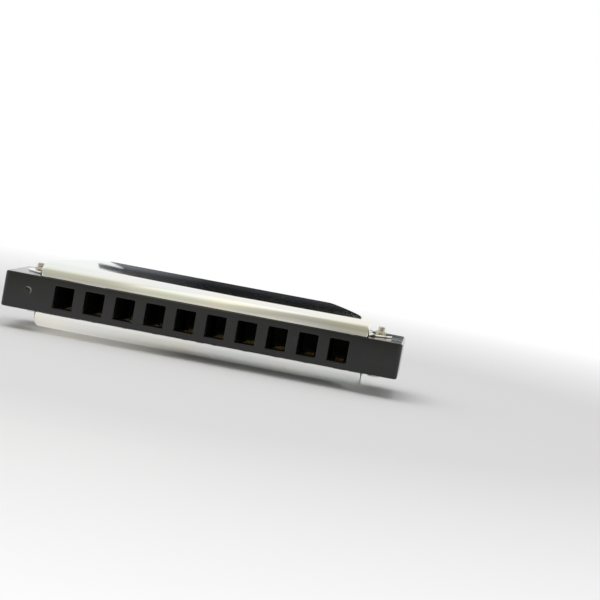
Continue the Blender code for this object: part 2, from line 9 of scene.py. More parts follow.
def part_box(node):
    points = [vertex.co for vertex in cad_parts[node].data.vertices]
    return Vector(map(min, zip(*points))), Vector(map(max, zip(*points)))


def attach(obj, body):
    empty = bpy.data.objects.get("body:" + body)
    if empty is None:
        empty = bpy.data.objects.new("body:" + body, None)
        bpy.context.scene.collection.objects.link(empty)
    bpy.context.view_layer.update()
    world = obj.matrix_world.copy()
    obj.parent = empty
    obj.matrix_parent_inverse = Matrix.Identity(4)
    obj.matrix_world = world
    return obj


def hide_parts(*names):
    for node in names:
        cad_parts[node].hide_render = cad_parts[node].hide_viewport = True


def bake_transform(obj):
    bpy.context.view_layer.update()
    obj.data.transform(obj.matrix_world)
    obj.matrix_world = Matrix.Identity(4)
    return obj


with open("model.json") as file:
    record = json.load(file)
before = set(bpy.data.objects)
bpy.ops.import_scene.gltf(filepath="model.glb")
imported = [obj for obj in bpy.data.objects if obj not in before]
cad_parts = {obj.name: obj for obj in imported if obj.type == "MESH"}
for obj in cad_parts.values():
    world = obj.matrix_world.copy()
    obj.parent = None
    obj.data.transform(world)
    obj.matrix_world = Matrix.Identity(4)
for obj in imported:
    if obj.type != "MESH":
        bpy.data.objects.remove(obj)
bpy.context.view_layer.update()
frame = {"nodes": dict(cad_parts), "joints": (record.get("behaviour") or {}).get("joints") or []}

# Comb
# One injection moulding in black plastic that everything else is fixed to, glossy outside and dull inside,
# with a small pip that carries a painted highlight on its upper right rim. A chamber runs back from each of
# the ten square mouth holes, and a bed on both faces takes a reed plate.

HOLES = range(1, 11)
PLATE_SCREWS = range(1, 6)
HOLE_WIDTH = 0.0047
HOLE_HEIGHT = 0.0054
HOLE_CORNER_RADIUS = 0.00025
HOLE_LIP_RADIUS = 0.0003
COMB_CORNER_RADIUS = 0.0012
COMB_EDGE_RADIUS = 0.0005
BED_CORNER_RADIUS = 0.0008
BED_LEDGE = 0.001
CHAMBER_END_ROOM = 0.0003
PIP_RADIUS = 0.0009
PIP_HEIGHT = 0.0003
PIP_CROWN_RADIUS = 0.0014
PIP_INSET = 0.0062
PIP_RISE = 0.00045
PIP_EDGE = (0.00088, 0.00098)
# Place and colour of the painted highlight on the pip's upper right rim.
PIP_HIGHLIGHT_SHIFT = Vector((0.00022, 0.0, 0.0002))
PIP_HIGHLIGHT_COLOUR = (0.22, 0.22, 0.21, 1.0)
PLATE_GAP = 0.00015
SEAT_GAP = 0.0001
BORE_GAP = 0.0001
SCREW_RADIUS = 0.0006
BOLT_RADIUS = 0.00085
ROUND_STEPS = 6
BORE_SIDES = 32
SHARP_EDGE = math.radians(35)
PLASTIC_COLOUR = (0.007, 0.007, 0.0072)
PLASTIC_SHADES = ((0.3, (0.005, 0.005, 0.0052)), (0.7, (0.009, 0.009, 0.0092)))
PLASTIC_ROUGHNESS = 0.17
FLOW_SIZE = 0.009
FLOW_STRETCH = (3.0, 1.0, 1.0)
HANDLING_SIZE = 0.004
HANDLED_ROUGHNESS = (0.1, 0.18)
CORE_DEPTHS = (0.0006, 0.002)
CORE_ROUGHNESS = 0.5
SKIN_GRAIN_SIZE = 0.0005
SKIN_GRAIN_DEPTH = 0.0000008

comb_low, comb_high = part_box("comb")
comb_face = comb_low.y + PIP_HEIGHT
comb_middle = Vector((0.0, (comb_face + comb_high.y) / 2, (comb_low.z + comb_high.z) / 2))
comb_half = comb_high - comb_middle
pip_middle = Vector((-comb_half.x + PIP_INSET, comb_face, comb_middle.z + PIP_RISE))
hinge = {joint["name"]: Vector(joint["pos_m"]) for joint in frame["joints"]}
hole_x = {number: hinge[f"blow_reed_{number}_swing"].x for number in HOLES}


def quarter_turn():
    """Sine and cosine at even steps from 0 to 90 degrees."""
    turns = [math.pi / 2 * step / ROUND_STEPS for step in range(ROUND_STEPS + 1)]
    return [(math.sin(turn), math.cos(turn)) for turn in turns]


def round_outline(half_x, half_y, radius):
    """A rectangle about the origin with round corners, anticlockwise."""
    outline = []
    for quarter, (side_x, side_y) in enumerate(((1, 1), (-1, 1), (-1, -1), (1, -1))):
        for step in range(ROUND_STEPS + 1):
            angle = math.pi / 2 * (quarter + step / ROUND_STEPS)
            x = side_x * (half_x - radius) + radius * math.cos(angle)
            y = side_y * (half_y - radius) + radius * math.sin(angle)
            outline.append((x, y))
    return outline


def circle(radius, sides):
    """Even points round the origin, the first half a step past the X axis."""
    turns = [2 * math.pi * (step + 0.5) / sides for step in range(sides)]
    return [(radius * math.cos(turn), radius * math.sin(turn)) for turn in turns]


def add_band(mesh, near, far):
    """Faces all round between two loops of equally many corners."""
    for i in range(len(near)):
        j = (i + 1) % len(near)
        mesh.faces.new((near[i], near[j], far[j], far[i]))


def add_skin(mesh, rings):
    """Faces from ring to ring of equally many points, closed at both ends."""
    loops = [[mesh.verts.new(point) for point in ring] for ring in rings]
    for near, far in zip(loops, loops[1:]):
        add_band(mesh, near, far)
    mesh.faces.new(loops[0])
    mesh.faces.new(loops[-1])


def add_upright(mesh, outline, centre, low, high):
    """A prism with one outline from a low to a high level."""
    add_skin(mesh, [[(centre[0] + x, centre[1] + y, z) for x, y in outline] for z in (low, high)])


def new_piece(name, mesh):
    """A named object from a mesh whose faces are turned outwards."""
    bmesh.ops.recalc_face_normals(mesh, faces=mesh.faces)
    data = bpy.data.meshes.new(name)
    mesh.to_mesh(data)
    mesh.free()
    made = bpy.data.objects.new(name, data)
    bpy.context.scene.collection.objects.link(made)
    return made


def settle(piece):
    """Keeps what a piece's modifiers make of it as its own mesh."""
    graph = bpy.context.evaluated_depsgraph_get()
    made = bpy.data.meshes.new_from_object(piece.evaluated_get(graph))
    piece.modifiers.clear()
    piece.data = made


def carve(piece, tool, operation="DIFFERENCE", solver="EXACT"):
    """Cuts a tool out of a piece, or joins it on, and throws the tool away."""
    helper = new_piece("carving_tool", tool)
    step = piece.modifiers.new("carve", "BOOLEAN")
    step.operation = operation
    step.solver = solver
    step.object = helper
    settle(piece)
    bpy.data.objects.remove(helper, do_unlink=True)


def smooth(piece):
    """Smooth shading on round stretches, with flat faces kept flat and true edges kept sharp."""
    piece.data.shade_smooth()
    piece.data.set_sharp_from_angle(angle=SHARP_EDGE)
    flats = piece.modifiers.new("flat_faces", "WEIGHTED_NORMAL")
    flats.keep_sharp = True
    settle(piece)


def comb_blank():
    """The outside of the moulding, with its edges rounded by rings that draw in towards both faces."""
    rings = []
    for side in (-1, 1):
        for sine, cosine in quarter_turn()[::-side]:
            inset = COMB_EDGE_RADIUS * (1 - sine)
            level = comb_middle.z + side * (comb_half.z - COMB_EDGE_RADIUS * (1 - cosine))
            outline = round_outline(comb_half.x - inset, comb_half.y - inset, COMB_CORNER_RADIUS - inset)
            rings.append([(x, comb_middle.y + y, level) for x, y in outline])
    mesh = bmesh.new()
    add_skin(mesh, rings)
    return mesh


def plate_beds():
    """The flat recesses in both faces, a gap wider than the plates that lie in them."""
    mesh = bmesh.new()
    for plate, outer in (("upper_reed_plate", 1), ("lower_reed_plate", -1)):
        low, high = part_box(plate)
        half = (high - low) / 2
        outline = round_outline(half.x + PLATE_GAP, half.y + PLATE_GAP, BED_CORNER_RADIUS)
        floor = low.z - SEAT_GAP if outer > 0 else high.z + SEAT_GAP
        outside = comb_middle.z + outer * 2 * comb_half.z
        add_upright(mesh, outline, (low + high) / 2, min(floor, outside), max(floor, outside))
    return mesh


def chambers():
    """Upright wells behind the holes, open to both beds and each as long as its reed needs."""
    bed_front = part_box("upper_reed_plate")[0].y - PLATE_GAP
    mesh = bmesh.new()
    for number in HOLES:
        front = bed_front + BED_LEDGE
        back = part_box(f"blow_reed_root_{number}")[1].y + CHAMBER_END_ROOM
        outline = round_outline(HOLE_WIDTH / 2, (back - front) / 2, HOLE_CORNER_RADIUS)
        add_upright(mesh, outline, (hole_x[number], (front + back) / 2), comb_low.z, comb_high.z)
    return mesh


def mouth_holes():
    """Square holes through the front rail with a rolled edge at the face."""
    bed_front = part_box("upper_reed_plate")[0].y - PLATE_GAP
    stations = [(comb_face - HOLE_LIP_RADIUS, HOLE_LIP_RADIUS)]
    for sine, cosine in quarter_turn():
        stations.append((comb_face + HOLE_LIP_RADIUS * (1 - cosine), HOLE_LIP_RADIUS * (1 - sine)))
    stations.append((bed_front + 2 * BED_LEDGE, 0.0))
    mesh = bmesh.new()
    for number in HOLES:
        rings = []
        for y, grown in stations:
            half = (HOLE_WIDTH / 2 + grown, HOLE_HEIGHT / 2 + grown)
            outline = round_outline(*half, HOLE_CORNER_RADIUS + grown)
            rings.append([(hole_x[number] + x, y, comb_middle.z + z) for x, z in outline])
        add_skin(mesh, rings)
    return mesh


def fastener_bores():
    """Bores right through for the bolts and for the plate screws, of which two share each bore."""
    mesh = bmesh.new()
    shafts = [(f"upper_plate_screw_{number}", SCREW_RADIUS) for number in PLATE_SCREWS]
    shafts += [(f"cover_bolt_{side}", BOLT_RADIUS) for side in ("left", "right")]
    for node, radius in shafts:
        low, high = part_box(node)
        outline = circle(radius + BORE_GAP, BORE_SIDES)
        add_upright(mesh, outline, (low + high) / 2, comb_low.z - SEAT_GAP, comb_high.z + SEAT_GAP)
    return mesh


def raised_pip():
    """The small domed dot on the mouth side, left of the first hole."""
    stations = [(comb_face + PIP_HEIGHT, PIP_RADIUS)]
    for sine, cosine in quarter_turn()[:-1]:
        radius = PIP_RADIUS * cosine
        fall = PIP_CROWN_RADIUS - math.sqrt(PIP_CROWN_RADIUS**2 - radius * radius)
        stations.append((comb_low.y + fall, radius))
    rings = []
    for y, radius in stations:
        rings.append([(pip_middle.x + x, y, pip_middle.z + z) for x, z in circle(radius, BORE_SIDES)])
    mesh = bmesh.new()
    add_skin(mesh, rings)
    return mesh


comb = new_piece("comb_moulding", comb_blank())
for tool in (plate_beds(), chambers(), mouth_holes(), fastener_bores()):
    carve(comb, tool)
carve(comb, raised_pip(), "UNION")
smooth(comb)


def finish(name, colour, roughness, metallic=0.0):
    """A material with one shader, and that shader."""
    made = bpy.data.materials.new(name)
    made.use_nodes = True
    shader = made.node_tree.nodes["Principled BSDF"]
    shader.inputs["Base Color"].default_value = (*colour, 1.0)
    shader.inputs["Metallic"].default_value = metallic
    shader.inputs["Roughness"].default_value = roughness
    return made, shader


def grain(made, size, detail=2.0, stretch=(1.0, 1.0, 1.0)):
    """A noise whose features have one size in metres, drawn out by the stretch along X, Y and Z."""
    nodes = made.node_tree.nodes
    place = nodes.new("ShaderNodeTexCoord")
    scale = nodes.new("ShaderNodeMapping")
    scale.inputs["Scale"].default_value = [1 / (size * share) for share in stretch]
    noise = nodes.new("ShaderNodeTexNoise")
    noise.inputs["Scale"].default_value = 1.0
    noise.inputs["Detail"].default_value = detail
    made.node_tree.links.new(place.outputs["Object"], scale.inputs["Vector"])
    made.node_tree.links.new(scale.outputs["Vector"], noise.inputs["Vector"])
    return noise.outputs["Fac"]


def spread(made, source, low, high, start=0.35, end=0.65):
    """Lays a value's run from start to end, by default the middle of a noise, over low to high."""
    node = made.node_tree.nodes.new("ShaderNodeMapRange")
    node.inputs["From Min"].default_value = start
    node.inputs["From Max"].default_value = end
    node.inputs["To Min"].default_value = low
    node.inputs["To Max"].default_value = high
    made.node_tree.links.new(source, node.inputs["Value"])
    return node.outputs["Result"]


def together(made, operation, first, second):
    """One value from two: their sum, their product, the lesser or the greater."""
    node = made.node_tree.nodes.new("ShaderNodeMath")
    node.operation = operation
    made.node_tree.links.new(first, node.inputs[0])
    made.node_tree.links.new(second, node.inputs[1])
    return node.outputs["Value"]


def blended(made, source, stops):
    """A colour that goes through a few stops of (place, colour)."""
    ramp = made.node_tree.nodes.new("ShaderNodeValToRGB")
    while len(ramp.color_ramp.elements) < len(stops):
        ramp.color_ramp.elements.new(1.0)
    for element, (place, colour) in zip(ramp.color_ramp.elements, stops):
        element.position = place
        element.color = (*colour, 1.0)
    made.node_tree.links.new(source, ramp.inputs["Fac"])
    return ramp.outputs["Color"]


def tint(made, shader, source, stops):
    """A base colour that wanders through a few stops."""
    made.node_tree.links.new(blended(made, source, stops), shader.inputs["Base Color"])


def relief(made, shader, source, depth):
    """A fine surface relief of one depth in metres."""
    bump = made.node_tree.nodes.new("ShaderNodeBump")
    bump.inputs["Strength"].default_value = 1.0
    bump.inputs["Distance"].default_value = depth
    made.node_tree.links.new(source, bump.inputs["Height"])
    made.node_tree.links.new(bump.outputs["Normal"], shader.inputs["Normal"])


def fit(piece, made, slot, *nodes):
    """Gives a piece one material and fixes it to the instrument, in place of the plain solids named."""
    piece.data.materials.clear()
    piece.data.materials.append(made)
    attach(piece, "instrument")
    if nodes:
        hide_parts(*nodes)


def depth_inside(made, middle, half):
    """How deep a place lies below the outside of a box about a middle."""
    nodes = made.node_tree.nodes
    links = made.node_tree.links
    place = nodes.new("ShaderNodeTexCoord")
    away = nodes.new("ShaderNodeVectorMath")
    away.operation = "SUBTRACT"
    away.inputs[1].default_value = middle
    size = nodes.new("ShaderNodeVectorMath")
    size.operation = "ABSOLUTE"
    left = nodes.new("ShaderNodeVectorMath")
    left.operation = "SUBTRACT"
    left.inputs[0].default_value = half
    split = nodes.new("ShaderNodeSeparateXYZ")
    links.new(place.outputs["Object"], away.inputs[0])
    links.new(away.outputs["Vector"], size.inputs[0])
    links.new(size.outputs["Vector"], left.inputs[1])
    links.new(left.outputs["Vector"], split.inputs["Vector"])
    nearest = together(made, "MINIMUM", split.outputs["X"], split.outputs["Y"])
    return together(made, "MINIMUM", nearest, split.outputs["Z"])


def distance_from(made, point):
    """How far a place lies from a point."""
    place = made.node_tree.nodes.new("ShaderNodeTexCoord")
    gap = made.node_tree.nodes.new("ShaderNodeVectorMath")
    gap.operation = "DISTANCE"
    gap.inputs[1].default_value = point
    made.node_tree.links.new(place.outputs["Object"], gap.inputs[0])
    return gap.outputs["Value"]


plastic, shader = finish("comb_plastic", PLASTIC_COLOUR, PLASTIC_ROUGHNESS)
flow = grain(plastic, FLOW_SIZE, detail=3.0, stretch=FLOW_STRETCH)
moulded = blended(plastic, flow, PLASTIC_SHADES)
# Painted highlight: a pale crescent on the upper right of the pip's rim, where a glint of light would fall.
on_pip = spread(plastic, distance_from(plastic, pip_middle), 1.0, 0.0, *PIP_EDGE)
past_highlight_middle = spread(plastic, distance_from(plastic, pip_middle - PIP_HIGHLIGHT_SHIFT), 0.0, 1.0, *PIP_EDGE)
painted_highlight = plastic.node_tree.nodes.new("ShaderNodeMix")
painted_highlight.data_type = "RGBA"
painted_highlight.inputs["B"].default_value = PIP_HIGHLIGHT_COLOUR
plastic.node_tree.links.new(together(plastic, "MULTIPLY", on_pip, past_highlight_middle), painted_highlight.inputs["Factor"])
plastic.node_tree.links.new(moulded, painted_highlight.inputs["A"])
plastic.node_tree.links.new(painted_highlight.outputs["Result"], shader.inputs["Base Color"])
handling = spread(plastic, grain(plastic, HANDLING_SIZE, detail=4.0), *HANDLED_ROUGHNESS)
core_depth = depth_inside(plastic, comb_middle, comb_half)
rough_core = spread(plastic, core_depth, 0.0, CORE_ROUGHNESS, *CORE_DEPTHS)
plastic.node_tree.links.new(together(plastic, "ADD", handling, rough_core), shader.inputs["Roughness"])
relief(plastic, shader, grain(plastic, SKIN_GRAIN_SIZE), SKIN_GRAIN_DEPTH)
fit(comb, plastic, "black_plastic", "comb")

# Reed plates
# Two flat plates milled from sheet brass, each with ten narrow slots that the reeds swing through. They lie
# in the comb's beds, and the bare sheet with its mill marks has darkened with use.

BRASS_COLOUR = (0.44, 0.31, 0.125)
BRASS_SHADES = ((0.3, (0.26, 0.18, 0.075)), (0.5, BRASS_COLOUR), (0.75, (0.56, 0.42, 0.19)))
BRASS_ROUGHNESS = 0.45
TARNISH_SIZE = 0.006
MILL_MARK_SIZE = 0.00012
MILL_MARK_STRETCH = (40.0, 1.0, 1.0)
MILL_MARK_ROUGHNESS = (0.4, 0.55)
MILL_MARK_DEPTH = 0.000002

brass, shader = finish("plate_brass", BRASS_COLOUR, BRASS_ROUGHNESS, metallic=1.0)
tint(brass, shader, grain(brass, TARNISH_SIZE, detail=4.0), BRASS_SHADES)
mill_marks = grain(brass, MILL_MARK_SIZE, stretch=MILL_MARK_STRETCH)
brass.node_tree.links.new(spread(brass, mill_marks, *MILL_MARK_ROUGHNESS), shader.inputs["Roughness"])
relief(brass, shader, mill_marks, MILL_MARK_DEPTH)
for node in ("upper_reed_plate", "lower_reed_plate"):
    frame["nodes"][node].data.materials[0] = brass

# Reeds
# Twenty leaves of spring bronze, cut from strip and ground thinner along the middle to tune them. Each is
# fixed at its wide root and free to swing in its slot.

REED_SETS = (("blow", "upper_reed_plate", -1), ("draw", "lower_reed_plate", 1))
ROOT_LENGTH = 0.003
ROOT_WIDTH = 0.0029
NECK_LENGTH = 0.0004
LEAF_EDGE = 0.00003
LEAF_THICKNESS = 0.00026
BELLY_THICKNESS = 0.00018
SLOT_FILL = 0.00005
BENDING_SHARE = 0.3
LEAF_STEPS = 28
NECK_STEPS = 4
BRONZE_COLOUR = (0.56, 0.37, 0.18)
BRONZE_SHADES = ((0.3, (0.4, 0.25, 0.11)), (0.55, BRONZE_COLOUR), (0.75, (0.64, 0.46, 0.24)))
BRONZE_ROUGHNESS = 0.26
BRONZE_STAIN_SIZE = 0.003
FILE_MARK_SIZE = 0.00007
FILE_MARK_STRETCH = (30.0, 1.0, 1.0)
FILE_MARK_ROUGHNESS = (0.15, 0.28)
FILE_MARK_DEPTH = 0.000002


def leaf_stations(length):
    """Places along a leaf: its root's end, the round of its neck and even steps to its tip."""
    neck = [NECK_LENGTH * (step / NECK_STEPS - 1) for step in range(NECK_STEPS + 1)]
    tongue = [length * step / LEAF_STEPS for step in range(1, LEAF_STEPS + 1)]
    return [-ROOT_LENGTH, -ROOT_LENGTH / 2, *neck, *tongue]


def leaf_half_width(along, tongue_half):
    """Half the leaf's width: its root's, then round its neck to the tongue's."""
    if along <= -NECK_LENGTH:
        return ROOT_WIDTH / 2
    if along < 0:
        share = 1 + along / NECK_LENGTH
        return ROOT_WIDTH / 2 + (tongue_half - ROOT_WIDTH / 2) * math.sin(share * math.pi / 2)
    return tongue_half


def leaf_thickness(along, length):
    """The leaf's thickness, ground thinnest halfway along the tongue."""
    belly = math.sin(math.pi * max(0.0, along) / length) ** 2
    return LEAF_THICKNESS - (LEAF_THICKNESS - BELLY_THICKNESS) * belly


def root_end(root, way):
    """Where a reed's root starts in depth; way is -1 where its tongue points to the mouth."""
    low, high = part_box(root)
    return high.y if way < 0 else low.y


def reed_leaf(name, tongue, root, way):
    """A leaf in place of a tongue and its root, and the two ends of the stretch that bends."""
    tongue_low, tongue_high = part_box(tongue)
    tip = tongue_low.y if way < 0 else tongue_high.y
    root_line = root_end(root, way) + way * ROOT_LENGTH
    length = abs(tip - root_line)
    middle = (tongue_low.x + tongue_high.x) / 2
    tongue_half = (tongue_high.x - tongue_low.x) / 2 + SLOT_FILL
    top = tongue_high.z
    rings = []
    for along in leaf_stations(length):
        half = leaf_half_width(along, tongue_half)
        low = top - leaf_thickness(along, length)
        corners = [(-half, low + LEAF_EDGE), (-half + LEAF_EDGE, low), (half - LEAF_EDGE, low)]
        corners += [(half, low + LEAF_EDGE), (half, top - LEAF_EDGE), (half - LEAF_EDGE, top)]
        corners += [(-half + LEAF_EDGE, top), (-half, top - LEAF_EDGE)]
        rings.append([(middle + x, root_line + way * along, z) for x, z in corners])
    mesh = bmesh.new()
    add_skin(mesh, rings)
    made = new_piece(name, mesh)
    smooth(made)
    bend_end = root_line + way * BENDING_SHARE * length
    return made, (middle, root_line, top), (middle, bend_end, top)


bronze, shader = finish("leaf_bronze", BRONZE_COLOUR, BRONZE_ROUGHNESS, metallic=1.0)
tint(bronze, shader, grain(bronze, BRONZE_STAIN_SIZE, detail=3.0), BRONZE_SHADES)
file_marks = grain(bronze, FILE_MARK_SIZE, stretch=FILE_MARK_STRETCH)
bronze.node_tree.links.new(spread(bronze, file_marks, *FILE_MARK_ROUGHNESS), shader.inputs["Roughness"])
relief(bronze, shader, file_marks, FILE_MARK_DEPTH)

for kind, plate, way in REED_SETS:
    for number in HOLES:
        tongue = f"{kind}_reed_{number}"
        root = f"{kind}_reed_root_{number}"
        leaf, bend_start, bend_end = reed_leaf(f"{kind}_leaf_{number}", tongue, root, way)
        leaf.data.materials.append(bronze)
        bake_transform(leaf)
        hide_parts(tongue, root)

# Rivets
# A short brass rivet through each reed's root and the plate under it. The head is domed over the reed, and
# the tail is hammered flush with the plate's far face.

RIVET_RADIUS = 0.0005
RIVET_HEAD_RADIUS = 0.0009
RIVET_HEAD_HEIGHT = 0.00035
RIVET_SIDES = 24


def add_turned(mesh, profile, sides):
    """A turned solid about Z from (radius, height) pairs going up."""
    add_skin(mesh, [[(x, y, height) for x, y in circle(radius, sides)] for radius, height in profile])


def rivet_mesh(grip):
    """A rivet with its head's flat face at height 0 and its tail a grip's length above."""
    dome = [
        (RIVET_HEAD_RADIUS * sine, -RIVET_HEAD_HEIGHT * cosine) for sine, cosine in quarter_turn()[1:]
    ]
    mesh = bmesh.new()
    add_turned(mesh, [*dome, (RIVET_RADIUS, 0.0), (RIVET_RADIUS, grip)], RIVET_SIDES)
    return mesh


for kind, plate, way in REED_SETS:
    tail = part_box(plate)[1].z
    for number in HOLES:
        root = f"{kind}_reed_root_{number}"
        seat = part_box(root)[0].z + RIVET_HEAD_HEIGHT
        rivet = new_piece(f"{kind}_rivet_{number}", rivet_mesh(tail - seat))
        smooth(rivet)
        rivet.location = (hole_x[number], root_end(root, way) + way * ROOT_LENGTH / 2, seat)
        fit(rivet, brass, "brass")

# Plate screws
# Five small slotted screws on each side hold a reed plate to the comb. They are turned from steel wire with
# a low domed head, and the slot is sawn across it.

SCREW_POINT = 0.0003
SCREW_HEAD_HEIGHT = 0.0007
SCREW_RIM_HEIGHT = 0.00025
SCREW_SLOT_WIDTH = 0.0003
SCREW_SLOT_DEPTH = 0.0003
SCREW_SIDES = 36
EDGE_BREAK = 0.00004
BREAK_ANGLE = math.radians(40)
BREAK_STEPS = 2
STEEL_COLOUR = (0.5, 0.49, 0.47)
STEEL_SHADES = ((0.3, (0.36, 0.35, 0.33)), (0.7, (0.56, 0.55, 0.53)))
STEEL_ROUGHNESS = 0.34
STEEL_STAIN_SIZE = 0.0008
TURNING_SIZE = 0.00008
TURNING_STRETCH = (1.0, 1.0, 0.3)
TURNING_ROUGHNESS = (0.26, 0.46)
TURNING_DEPTH = 0.000002


def saw_slot(piece, width, depth, face, outwards, reach):
    """A straight slot across a head's face, at a level with its open side outwards."""
    low = min(face - outwards * depth, face + outwards * depth)
    mesh = bmesh.new()
    outline = [(-reach, -width / 2), (reach, -width / 2), (reach, width / 2), (-reach, width / 2)]
    add_upright(mesh, outline, (0.0, 0.0), low, low + 2 * depth)
    carve(piece, mesh)


def break_edges(piece, width):
    """Rounds the sharp edges that the tool leaves, so that they catch the light."""
    rounding = piece.modifiers.new("broken_edges", "BEVEL")
    rounding.width = width
    rounding.segments = BREAK_STEPS
    rounding.limit_method = "ANGLE"
    rounding.angle_limit = BREAK_ANGLE
    settle(piece)


def screw_mesh(head_radius, shank_length):
    """A screw about Z with the underside of its head at height 0."""
    profile = [
        (SCREW_RADIUS - SCREW_POINT, -shank_length),
        (SCREW_RADIUS, -shank_length + SCREW_POINT),
        (SCREW_RADIUS, 0.0),
        (head_radius, 0.0),
    ]
    crown_rise = SCREW_HEAD_HEIGHT - SCREW_RIM_HEIGHT
    for sine, cosine in quarter_turn()[:-1]:
        profile.append((head_radius * cosine, SCREW_RIM_HEIGHT + crown_rise * sine))
    mesh = bmesh.new()
    add_turned(mesh, profile, SCREW_SIDES)
    return mesh


def another(name, piece):
    """One more object with the mesh of a finished piece."""
    made = bpy.data.objects.new(name, piece.data)
    bpy.context.scene.collection.objects.link(made)
    return made


screw_low, screw_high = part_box("upper_plate_screw_1")
screw_head_radius = (screw_high.x - screw_low.x) / 2
shank_length = screw_high.z - screw_low.z - SCREW_HEAD_HEIGHT
screw = new_piece("plate_screw", screw_mesh(screw_head_radius, shank_length))
saw_slot(screw, SCREW_SLOT_WIDTH, SCREW_SLOT_DEPTH, SCREW_HEAD_HEIGHT, 1, 2 * screw_head_radius)
break_edges(screw, EDGE_BREAK)
smooth(screw)

steel, shader = finish("turned_steel", STEEL_COLOUR, STEEL_ROUGHNESS, metallic=1.0)
tint(steel, shader, grain(steel, STEEL_STAIN_SIZE, detail=3.0), STEEL_SHADES)
turning = grain(steel, TURNING_SIZE, stretch=TURNING_STRETCH)
steel.node_tree.links.new(spread(steel, turning, *TURNING_ROUGHNESS), shader.inputs["Roughness"])
relief(steel, shader, turning, TURNING_DEPTH)

for side in ("upper", "lower"):
    for number in PLATE_SCREWS:
        node = f"{side}_plate_screw_{number}"
        low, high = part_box(node)
        placed = another(f"{side}_screw_{number}", screw)
        placed.location = (low + high) / 2
        placed.location.z = high.z - SCREW_HEAD_HEIGHT if side == "upper" else low.z + SCREW_HEAD_HEIGHT
        placed.rotation_euler.x = 0.0 if side == "upper" else math.pi
        fit(placed, steel, "screw_steel", node)
bpy.data.objects.remove(screw, do_unlink=True)

# Covers
# Two alike covers pressed from polished steel sheet: a curved front, a sloping roof, slanted ends with an
# ear for the bolt, and a lip folded in along the open back. One lies on each face of the comb.

SHEET = 0.00045
SHEET_EDGE = 0.00009
COVER_END_LAND = 0.0007
FOOT_RISE = 0.0005
SHOULDER_DEPTH = 0.0044
SHOULDER_RISE = 0.0037
ROOF_CROWN = 0.0002
RIDGE_BACK_INSET = 0.0113
RIDGE_START_EASE = 0.05
RIDGE_ROUNDING = 0.001
RIDGE_PART = 0.4
FOOT_PART = 0.27
COVER_CORNER_RADIUS = 0.0007
BACK_FOLD_RADIUS = 0.00035
BACK_LIP = 0.0009
SLIT_WIDTH = 0.0006
SLIT_HEIGHT = 0.0019
SLIT_TURN = math.radians(55)
EAR_WIDTH = 0.0104
EAR_TIP_RADIUS = 0.0028
EAR_TIP_TURN = math.radians(65)
EAR_EDGE_ROOM = 1.5 * SHEET
EAR_FLARE = 0.0011
FLARE_EASE = 0.6
FLARE_POWER = 4
FRONT_STEPS = 26
ROOF_STEPS = 44
EAR_STEPS = 22
FLAT_STEPS = 3
FLARE_STEPS = 6
WALL_STEPS = 4
RIDGE_STEPS = 8
MIDDLE_STEPS = 14
POLISH_COLOUR = (0.86, 0.855, 0.84)
POLISH_SHADES = ((0.34, (0.825, 0.86, 0.825)), (0.48, POLISH_COLOUR), (0.66, (0.885, 0.865, 0.775)))
POLISH_ROUGHNESS = 0.08
TINGE_SIZE = 0.012
TINGE_STRETCH = (2.5, 1.0, 1.0)
POLISH_LINE_SIZE = 0.00016
POLISH_LINE_STRETCH = (30.0, 1.0, 1.0)
POLISH_LINE_ROUGHNESS = (0.0, 0.05)
SMUDGE_SIZE = 0.011
SMUDGE_SPAN = (0.45, 0.75)
SMUDGE_ROUGHNESS = (0.04, 0.09)
WAVE_SIZE = 0.007
WAVE_STRETCH = (2.0, 1.0, 1.0)
WAVE_DEPTH = 0.000005

cover_low, cover_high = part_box("top_cover")
bolt_low, bolt_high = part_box("cover_bolt_right")
bolt_x = (bolt_low.x + bolt_high.x) / 2
bolt_y = (bolt_low.y + bolt_high.y) / 2
cover_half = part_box("upper_reed_plate")[1].x + PLATE_GAP + COVER_END_LAND
back_rise = cover_high.z - cover_low.z
shoulder = cover_low.y + SHOULDER_DEPTH
roof_depth = cover_high.y - shoulder
roof_rise = back_rise - SHOULDER_RISE


def roof_height(y):
    """Height of the sheet above its foot: a curved front, then a sloping and faintly crowned roof."""
    if y >= shoulder:
        share = (y - shoulder) / roof_depth
        return SHOULDER_RISE + roof_rise * share + 4 * ROOF_CROWN * share * (1 - share)
    run = (shoulder - y) / SHOULDER_DEPTH
    curve = FOOT_RISE + (SHOULDER_RISE - FOOT_RISE) * math.sqrt(max(0.0, 1 - run * run))
    start_slope = (roof_rise + 4 * ROOF_CROWN) / roof_depth
    return curve - start_slope * SHOULDER_DEPTH * run * (1 - run)


def ridge_inset(y):
    """How far the slanted end draws the ridge in, with an eased start behind the front curve."""
    share = max(0.0, (y - shoulder) / roof_depth)
    return RIDGE_BACK_INSET * (1 + RIDGE_START_EASE) * share * share / (share + RIDGE_START_EASE)


def end_foot(y):
    """Half the cover's length at its foot, rounded in plan at the front corners."""
    short = max(0.0, COVER_CORNER_RADIUS - (y - cover_low.y))
    return cover_half - COVER_CORNER_RADIUS + math.sqrt(max(0.0, COVER_CORNER_RADIUS**2 - short * short))


def ear_edge(across):
    """How far an ear reaches from the cover's middle, with a round tip about the bolt."""
    tip_half = EAR_TIP_RADIUS * math.sin(EAR_TIP_TURN)
    if across <= tip_half:
        return bolt_x + math.sqrt(EAR_TIP_RADIUS**2 - across * across)
    tip_start = bolt_x + EAR_TIP_RADIUS * math.cos(EAR_TIP_TURN)
    root = cover_half + EAR_FLARE
    return tip_start + (root - tip_start) * (across - tip_half) / (EAR_WIDTH / 2 - tip_half)


def line(start, end, steps):
    """Even points from start towards end, without the end."""
    return [start.lerp(end, step / steps) for step in range(steps)]


def bend(start, corner, end, steps):
    """Points on a smooth bend from start towards end, drawn towards a corner."""
    points = []
    for step in range(steps):
        t = step / steps
        points.append(start * (1 - t) ** 2 + corner * 2 * t * (1 - t) + end * t * t)
    return points


